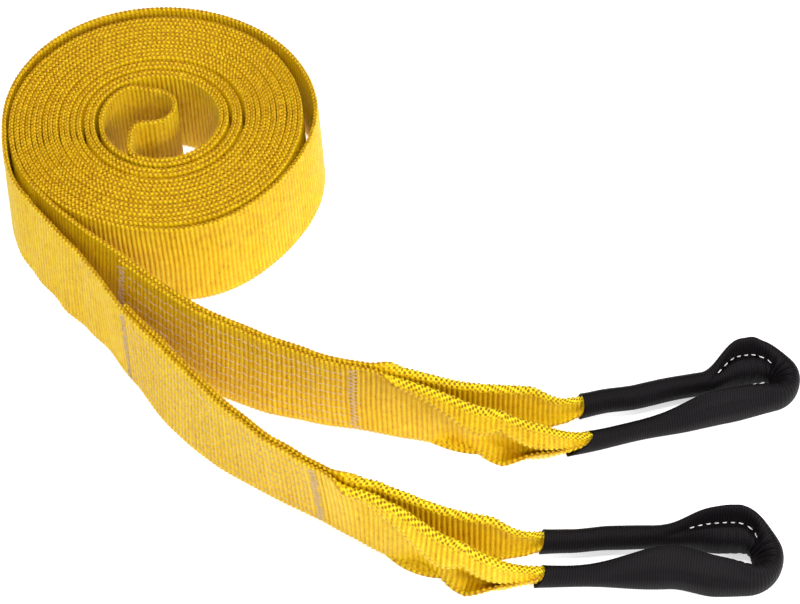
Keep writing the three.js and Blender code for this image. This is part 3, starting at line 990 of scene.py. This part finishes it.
def sleeve_surface(end, inset, places):
    """Points of a sleeve's middle surface, at places round it counted in keys, with the run q
    from the tip, positive on the near leg. Between tube, opened leg and turn the keys of the
    section blend by S curves of the run."""
    x, y, d, run, tip_run, (_, _, mouth, _) = end_line(end, inset)
    side = end["side"]
    covered = np.flatnonzero(d >= mouth)
    q = (run[covered] - tip_run) * side
    tube, far, near, turn = (np.array(keys, float) for keys in (TUBE, FAR_TIP, NEAR_TIP, TURN))
    raised = np.interp(near[:, 1], [0, *NEAR_LIP], [1, 1, end["near_rim"] / NEAR_LIP[1]])
    near = near * np.stack([np.ones(SECTION_KEYS), raised], -1)
    is_near = q > 0
    opened = np.where(
        is_near,
        1 - smooth(q, end["near_opens"][1], end["near_opens"][0]),
        1 - smooth(-q, end["far_opens"][1], end["far_opens"][0]),
    )
    tip = np.where(is_near[:, None, None], near, far)
    legs = tube + opened[:, None, None] * (tip - tube)
    turn_to = np.where(is_near, NEAR_TURN_REACH, FAR_TURN_REACH)
    at_turn = (1 - smooth(np.abs(q), TURN_FROM, turn_to))[:, None, None]
    keys = legs + at_turn * (turn - legs)
    section = np.einsum("pk,skc->spc", spline_weights(SECTION_KEYS, places), keys)
    # The mouths are cut aslant and flare a little
    here = run[covered]
    from_mouth = np.minimum(here - here[0], here[-1] - here)[:, None]
    flare = 1 + MOUTH_FLARE * np.exp(-from_mouth / FLARE_RUN)
    section = (section - [0, SLEEVE_HALF]) * flare[..., None] + [0, SLEEVE_HALF + SLEEVE_LIFT]
    scale, shift = leg_fit(end, q)
    scale = scale + (1 - scale) * opened
    section = section * scale[:, None, None]
    section[..., 0] += shift[:, None]
    slant = np.where(is_near, end["slant"], FAR_SLANT) * np.where(is_near, 1, -1)
    low = 1 - smooth(section[..., 1], 0, SLANT_HEIGHT)
    places_run = here[:, None] + slant[:, None] * side * low * np.exp(-from_mouth / SLANT_RUN)
    # Creases that fan out from the inside of the turn, and slight unrest along the legs
    towards, up = section[..., 0], section[..., 1]
    phase = q[:, None]
    crease = np.exp(-(phase / CREASE_RUN) ** 2) * smooth(towards, *CREASE_WAYS)
    fan = phase / 0.62 + 0.9 * np.sin(up / 3.1) + 0.7 * np.sin(phase / 4.3)
    towards = towards + CREASE_IN * crease * np.sin(fan)
    up = up + CREASE_UP * crease * np.sin(fan + 0.8) * smooth(up, *CREASE_HEIGHTS)
    stray = np.sin(phase / 9.5 + up / 5) * np.sin(phase / 17 + 2)
    towards = towards + STRAY * stray
    raised = TOP_STRAY * np.sin(phase / 7.1 + 1) * smooth(up, *TOP_STRAY_HEIGHTS)
    up = up * (1 + raised)
    heading = np.unwrap(np.arctan2(np.gradient(y), np.gradient(x)))
    hole = np.stack([np.sin(heading), -np.cos(heading)], -1) * side
    points = np.empty(section.shape[:2] + (3,))
    for axis, line in ((0, x), (1, y)):
        way = np.interp(places_run, run, hole[:, axis])
        points[..., axis] = np.interp(places_run, run, line) + way * towards
    points[..., 2] = up
    return points, q


def sleeve_piece(name, end, inset):
    """A sleeve: its closed sections carried along the eye, as an outer and an inner skin half the
    cloth's thickness either side of the middle surface, joined at both mouths."""
    places = np.arange(RING_POINTS) * SECTION_KEYS / RING_POINTS
    points, q = sleeve_surface(end, inset, places)
    forward = np.gradient(points, axis=0)
    round_way = np.roll(points, -1, axis=1) - np.roll(points, 1, axis=1)
    normal = unit(np.cross(forward, round_way))
    stations, size = points.shape[:2]
    skins = np.concatenate([(points + normal * CLOTH / 2).reshape(-1, 3),
                            (points - normal * CLOTH / 2).reshape(-1, 3)])
    outer = ring_faces(stations, size)
    inner = outer[:, ::-1] + stations * size
    j = np.arange(size)
    k = (j + 1) % size
    last = (stations - 1) * size
    deep = stations * size
    rims = [
        np.stack([j, j + deep, k + deep, k], -1),
        np.stack([j, k, k + deep, j + deep], -1) + last,
    ]
    steps = np.linalg.norm(np.diff(points[0], axis=0), axis=1)
    around = np.concatenate([[0], np.cumsum(steps)])
    uv = np.stack(np.broadcast_arrays(q[:, None], around[None, :]), -1)
    uv = np.concatenate([uv.reshape(-1, 2)] * 2)
    faces = [np.concatenate([outer, inner] + rims)]
    piece = mesh_piece(name, skins, faces, uv, {}, BLACK)
    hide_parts(name.replace("_cloth", ""))
    return piece


# Sewing

def stitches(name, starts, ends, outward, radius, material):
    """Short threads from starts to ends: each a tube of five-sided rings whose ends sink into the
    cloth and whose middle stands proud by half a thread."""
    places = np.array([0, 0.2, 0.8, 1])
    lift = np.array([-0.7, 0.5, 0.5, -0.7]) * radius
    size = np.array([0.55, 1, 1, 0.55]) * radius
    way = ends - starts
    side = unit(np.cross(way, outward))
    centre = starts[:, None] + way[:, None] * places[None, :, None]
    centre = centre + outward[:, None] * lift[None, :, None]
    rings, sides = len(places), 5
    angle = 2 * np.pi * np.arange(sides) / sides
    ring = side[:, None, :] * np.cos(angle)[None, :, None]
    ring = ring + outward[:, None, :] * np.sin(angle)[None, :, None]
    points = centre[:, :, None, :] + ring[:, None] * size[None, :, None, None]
    base = np.arange(len(starts))[:, None] * rings * sides
    walls = (ring_faces(rings, sides)[None] + base[..., None]).reshape(-1, 4)
    last_ring = np.arange((rings - 1) * sides, rings * sides)
    caps = [np.arange(sides)[None, ::-1] + base, last_ring[None] + base]
    length = np.linalg.norm(way, axis=1)
    u = (length[:, None] * places)[:, :, None]
    uv = np.stack(np.broadcast_arrays(u, angle), -1).reshape(-1, 2)
    points = points.reshape(-1, 3)
    return mesh_piece(name, points, [walls] + caps, uv, {}, material)


def lap_surface(end, inset, d, v, face):
    """Places on an outer face of a lap, at distances d from the coil and heights v from its middle,
    with the way outwards: face 1 is left of the way out, -1 right of it."""
    start, bends, half_at, _ = leg_places(end, inset)
    x, y, heading = along(start, bends, d)
    left = np.radians(heading + 90)
    low, top = drift_of(end, d)
    out = face * (half_at(d) + WEB_THICKNESS / 2) + v * np.tan(lean_of(d))
    out = out + low + (top - low) * (v + WEB_WIDTH / 2) / WEB_WIDTH
    outward = np.stack([np.cos(left), np.sin(left), np.zeros_like(left)], -1) * face
    places = np.stack([x + out * np.cos(left), y + out * np.sin(left), v + WEB_WIDTH / 2], -1)
    return places, outward


STITCH_ROWS = 8
STITCH_ROW_PITCH = 5.4
STITCH_PITCH = 3.3
STITCH_LENGTH = 2.5
STITCH_SLOPE = 0.45
# From each end of the lap to the first stitch, and to the bar tack at its start and at its end
ROW_MARGIN = 7
TACK_AT_START, TACK_AT_END = 3.2, 4.2
TACK_TURNS = 34
TACK_HALF_WIDTH = 2.2
TACK_HALF_HEIGHT = 23
LAP_THREAD_RADIUS = 0.16
# How far the stitches stray from their even places: along and across the lap, and in their slope,
# and a bar tack's turns in height and width
ROW_STRAY, ACROSS_STRAY, SLOPE_STRAY = 0.3, 0.25, 0.3
TACK_STRAY, TACK_WIDTH_STRAY = 0.35, 0.9


def lap_sewing(name, end, inset, seed):
    """Rows of slanting stitches along a lap, and a zigzag bar tack across the webbing at each end,
    on both outer faces. Each stitch strays a little at random from its even place and slope."""
    lap_start, lap_end, _, _ = leg_places(end, inset)[3]
    random = np.random.default_rng(seed)

    def stray(reach, size):
        return random.uniform(-reach, reach, size)

    count = int((LAP_LENGTH - 2 * ROW_MARGIN) / STITCH_PITCH)
    grid = (STITCH_ROWS, count)
    rows = (np.arange(STITCH_ROWS) - (STITCH_ROWS - 1) / 2) * STITCH_ROW_PITCH
    d = lap_start + ROW_MARGIN + np.arange(count)[None, :] * STITCH_PITCH
    d = d + stray(ROW_STRAY, grid)
    v = rows[:, None] + stray(ACROSS_STRAY, grid)
    slope = STITCH_SLOPE * np.where(np.arange(count) % 2, 1, -1)[None, :]
    slope = slope + stray(SLOPE_STRAY, grid)
    first = [d.ravel(), (v - slope).ravel()]
    last = [(d + STITCH_LENGTH).ravel(), (v + slope).ravel()]
    for place in (lap_start + TACK_AT_START, lap_end - TACK_AT_END):
        high = np.linspace(-TACK_HALF_HEIGHT, TACK_HALF_HEIGHT, TACK_TURNS)
        high = high + stray(TACK_STRAY, TACK_TURNS)
        wide = TACK_HALF_WIDTH * np.where(np.arange(TACK_TURNS) % 2, 1, -1)
        wide = place + (wide + stray(TACK_WIDTH_STRAY, TACK_TURNS))
        first = [np.append(first[0], wide[:-1]), np.append(first[1], high[:-1])]
        last = [np.append(last[0], wide[1:]), np.append(last[1], high[1:] + 0.2)]
    made = [[], [], []]
    for face in (1, -1):
        a, outward = lap_surface(end, inset, first[0], first[1], face)
        b, _ = lap_surface(end, inset, last[0], last[1], face)
        for kept, values in zip(made, (a, b, outward)):
            kept.append(values)
    starts, ends, outward = (np.concatenate(kept) for kept in made)
    return stitches(name, starts, ends, outward, LAP_THREAD_RADIUS, PALE_THREAD)


SEAM_STITCH_PITCH = 3.6
SEAM_STITCH_LENGTH = 2.2
SEAM_THREAD_RADIUS = 0.3
# Where the seam lies round the section, counted in keys, and how far beside it the cloth is felt
SEAM_PLACE = 7.72
SEAM_BESIDE = 0.3
# A way towards the camera's side, by which the seam's outward side is told
SEAM_SIDE = np.array([0, -1, 0.6])


def seam_sewing(name, end, inset, reach):
    """White stitches of a sleeve's long seam, where its upper part stands open on the far leg,
    between two reaches from the tip. Outwards is across the seam and across the cloth beside
    it."""
    beside = SEAM_PLACE + SEAM_BESIDE, SEAM_PLACE - SEAM_BESIDE
    points, q = sleeve_surface(end, inset, np.array([SEAM_PLACE, *beside]))
    line = points[:, 0]
    outward = unit(np.cross(points[:, 1] - points[:, 2], np.gradient(line, axis=0)))
    outward = outward * np.sign((outward * SEAM_SIDE).sum(1, keepdims=True))
    order = np.argsort(q)
    starts = np.arange(-reach[1], -reach[0], SEAM_STITCH_PITCH)

    def at(places, values):
        return np.stack([np.interp(places, q[order], values[order, i]) for i in range(3)], -1)

    lifted = at(starts, outward)
    proud = lifted * (CLOTH / 2)
    first = at(starts, line) + proud
    last = at(starts + SEAM_STITCH_LENGTH, line) + proud
    return stitches(name, first, last, unit(lifted), SEAM_THREAD_RADIUS, WHITE_THREAD)


coil_pieces()
for end_name, inset, seed in (("upper", PLY_PITCH, 7), ("lower", 0, 8)):
    end_pieces(end_name, ENDS[end_name], inset)
    sleeve_piece(f"{end_name}_eye_sleeve_cloth", ENDS[end_name], inset)
    lap_sewing(f"{end_name}_lap_sewing", ENDS[end_name], inset, seed)
seam_sewing("upper_sleeve_sewing", ENDS["upper"], PLY_PITCH, (9, 36))
seam_sewing("lower_sleeve_sewing", ENDS["lower"], 0, (9, 40))


# Stage: floor, lights and camera

FLOOR_HALF = 3
WORLD_LIGHT = 0.28
# Soft boxes as (name, place, size, power), in metres and watts
SOFT_BOXES = (
    ("right_box", (1.1, -0.8, 0.8), 0.45, 12.5),
    ("front_box", (0.0, -1.3, 1.0), 0.45, 7.5),
    ("top_box", (-0.12, 0.0, 1.2), 0.35, 9),
)


def aim(thing, target):
    thing.rotation_mode = "QUATERNION"
    thing.rotation_quaternion = (Vector(target) - thing.location).to_track_quat("-Z", "Y")


def stage_scene():
    """A pale floor that glows a little, a plain white world and three soft boxes."""
    floor_mesh = bpy.data.meshes.new("floor")
    corners = [(x * FLOOR_HALF, y * FLOOR_HALF, 0) for x, y in ((-1, -1), (1, -1), (1, 1), (-1, 1))]
    floor_mesh.from_pydata(corners, [], [(0, 1, 2, 3)])
    floor = bpy.data.objects.new("floor", floor_mesh)
    bpy.context.scene.collection.objects.link(floor)
    made, tree = new_material("pale_floor")
    shader = node(tree, "ShaderNodeBsdfPrincipled", {
        "Base Color": (0.9, 0.9, 0.9, 1), "Roughness": 0.9, "Specular IOR Level": 0.1,
        "Emission Strength": 0.6, "Emission Color": (1, 1, 1, 1),
    })
    finish_material(tree, shader)
    floor_mesh.materials.append(made)
    world = bpy.data.worlds.new("studio")
    world.use_nodes = True
    sky = world.node_tree.nodes["Background"].inputs
    sky["Color"].default_value = (1, 1, 1, 1)
    sky["Strength"].default_value = WORLD_LIGHT
    bpy.context.scene.world = world
    centre = (0.0, 0.0, 0.02)
    for name, place, size, power in SOFT_BOXES:
        data = bpy.data.lights.new(name, "AREA")
        data.energy = power
        data.size = size
        lamp = bpy.data.objects.new(name, data)
        lamp.location = place
        bpy.context.scene.collection.objects.link(lamp)
        aim(lamp, centre)


CAMERA_ELEVATION = math.radians(50.24)
CAMERA_DISTANCE = 1200
CAMERA_TARGET = np.array([114.5, -74.9, 0])
CAMERA_FOCAL_PIXELS = 2501
IMAGE_WIDTH = 800
SENSOR = 36.0


def camera():
    """The camera looks along +Y and down at a point on the floor that lies beside the coil's
    axis."""
    data = bpy.data.cameras.new("camera")
    data.sensor_width = SENSOR
    data.lens = SENSOR * CAMERA_FOCAL_PIXELS / IMAGE_WIDTH
    made = bpy.data.objects.new("camera", data)
    target = (AXIS + CAMERA_TARGET) / METRE
    back = np.array([0, -math.cos(CAMERA_ELEVATION), math.sin(CAMERA_ELEVATION)])
    made.location = target + back * CAMERA_DISTANCE / METRE
    bpy.context.scene.collection.objects.link(made)
    aim(made, target)
    bpy.context.scene.camera = made


stage_scene()
camera()
bpy.context.scene.view_settings.view_transform = "Standard"
